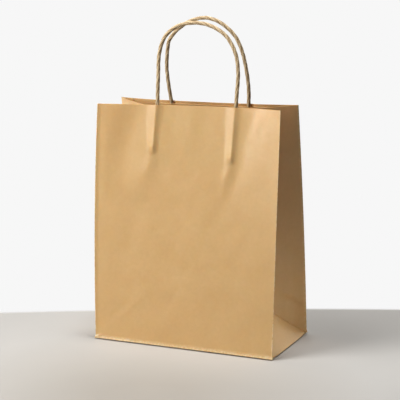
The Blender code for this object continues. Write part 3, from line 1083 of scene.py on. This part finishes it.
def dress():
    """All pieces, each in place of the plain solid that it stands for."""
    kraft = kraft_material("kraft_paper", KRAFT)
    # The strips take the darker copy of the kraft: painted shade for the inside of the bag
    shaded_strip_kraft = kraft_material("shaded_strip_paper", SHADED_STRIP_KRAFT)
    twisted = cord_material()
    wall = make_wall(kraft)
    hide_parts("paper_bag")
    for piece in [wall] + make_triangles(kraft) + make_bottom(kraft):
        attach(piece, "root")
    for panel in (FRONT, BACK):
        cord = make_cord(panel, twisted)
        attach(cord, "root")
        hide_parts(f"{panel.name}_handle")
        for which, depth, swell in (("backing", BACKING_DEPTH, 1.0), ("cover", COVER_DEPTH, -1.0)):
            strip = make_strip(panel, which, depth, swell, shaded_strip_kraft)
            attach(strip, "root")
            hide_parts(f"{panel.name}_{which}_strip")


def place_from(x, y, z, origin):
    """The matrix of an object whose axes point along three directions."""
    matrix = Matrix((x, y, z)).transposed().to_4x4()
    matrix.translation = origin
    return matrix


def direction(azimuth, elevation):
    """The direction away from the bag at an azimuth from -Y towards +X and an elevation."""
    level = math.cos(elevation)
    return Vector((math.sin(azimuth) * level, -math.cos(azimuth) * level, math.sin(elevation)))


def make_camera():
    """The camera at the photograph's view."""
    back = direction(AZIMUTH, PITCH)
    level = Vector((math.cos(AZIMUTH), math.sin(AZIMUTH), 0.0))
    upright = back.cross(level)
    right = math.cos(ROLL) * level + math.sin(ROLL) * upright
    up = math.cos(ROLL) * upright - math.sin(ROLL) * level
    data = bpy.data.cameras.new("camera")
    data.sensor_width = SENSOR
    data.lens = SENSOR * FOCAL_PIXELS / FRAME_PIXELS
    camera = bpy.data.objects.new("camera", data)
    camera.matrix_world = place_from(right, up, back, TARGET + back * DISTANCE)
    bpy.context.scene.collection.objects.link(camera)
    bpy.context.scene.camera = camera


def make_light(name, azimuth, elevation, distance, size, power, aim, spread_angle):
    """A soft square light that faces a point of the bag."""
    away = direction(math.radians(azimuth), math.radians(elevation))
    data = bpy.data.lights.new(name, "AREA")
    data.size = size
    data.energy = power
    data.spread = math.radians(spread_angle)
    light = bpy.data.objects.new(name, data)
    light.location = Vector(aim) + away * distance
    light.rotation_euler = away.to_track_quat("Z", "Y").to_euler()
    bpy.context.scene.collection.objects.link(light)


def seen_part(tree):
    """1 for rays of the camera, and for those sent on by a mirror or a clear material."""
    path = tree.nodes.new("ShaderNodeLightPath")
    seen = path.outputs["Is Camera Ray"]
    for name in ("Is Glossy Ray", "Is Transmission Ray"):
        most = tree.nodes.new("ShaderNodeMath")
        most.operation = "MAXIMUM"
        tree.links.new(seen, most.inputs[0])
        tree.links.new(path.outputs[name], most.inputs[1])
        seen = most.outputs["Value"]
    return seen


def make_floor():
    """A pale floor with a patch of painted shade in front of the bag, which fades to a white
    background.
    """
    m = Nodes("floor")
    clouds = m.ramp(m.noise(m.place, *FLOOR_CLOUDS), *CLOUD_RANGE)
    cloudy = m.mix(clouds, FLOOR_CLOUD_SHADE, (1, 1, 1, 1))
    # Painted shade in front of the bag, warm like light bounced off it
    shade_patch = m.ramp(m.away_from(SHADE_PATCH_MIDDLE), *SHADE_PATCH_REACH)
    tone = m.mix(shade_patch, SHADE_PATCH_COLOUR, FLOOR_COLOUR)
    m.put(m.shader, "Base Color", m.mix(1.0, tone, cloudy, "MULTIPLY"))
    m.put(m.shader, "Roughness", FLOOR_ROUGHNESS)
    m.put(m.shader, "Specular IOR Level", FLOOR_SHEEN)
    white = m.add("Emission", {"Color": WHITE, "Strength": 1.0})
    beyond = m.ramp(m.away_from(HORIZON_MIDDLE), *HORIZON_REACH, "SMOOTHSTEP")
    around = m.ramp(m.away_from((0.0, 0.0, 0.0)), *AROUND_REACH, "SMOOTHSTEP")
    fade = m.math("MULTIPLY", m.math("MAXIMUM", beyond, around), seen_part(m.tree))
    mixed = m.add("MixShader", {0: fade, 1: m.shader.outputs["BSDF"], 2: white.outputs["Emission"]})
    m.tree.links.new(mixed.outputs["Shader"], m.tree.nodes["Material Output"].inputs["Surface"])
    bpy.ops.mesh.primitive_circle_add(vertices=FLOOR_SIDES, radius=FLOOR_RADIUS, fill_type="NGON")
    floor = bpy.context.object
    floor.name = "floor"
    floor.data.materials.append(m.material)


def make_surroundings():
    """A dim warm light from all around, behind a white background."""
    world = bpy.data.worlds.new("surroundings")
    world.use_nodes = True
    bpy.context.scene.world = world
    nodes = world.node_tree.nodes
    links = world.node_tree.links
    ambient = nodes["Background"]
    ambient.inputs["Color"].default_value = AMBIENT_COLOUR
    ambient.inputs["Strength"].default_value = AMBIENT
    backdrop = nodes.new("ShaderNodeBackground")
    backdrop.inputs["Color"].default_value = WHITE
    mixed = nodes.new("ShaderNodeMixShader")
    links.new(seen_part(world.node_tree), mixed.inputs[0])
    links.new(ambient.outputs[0], mixed.inputs[1])
    links.new(backdrop.outputs[0], mixed.inputs[2])
    links.new(mixed.outputs[0], nodes["World Output"].inputs["Surface"])


dress()
make_camera()
make_floor()
make_surroundings()
for light_name, values in LIGHTS.items():
    make_light(light_name, *values)
bpy.context.scene.view_settings.view_transform = "Standard"
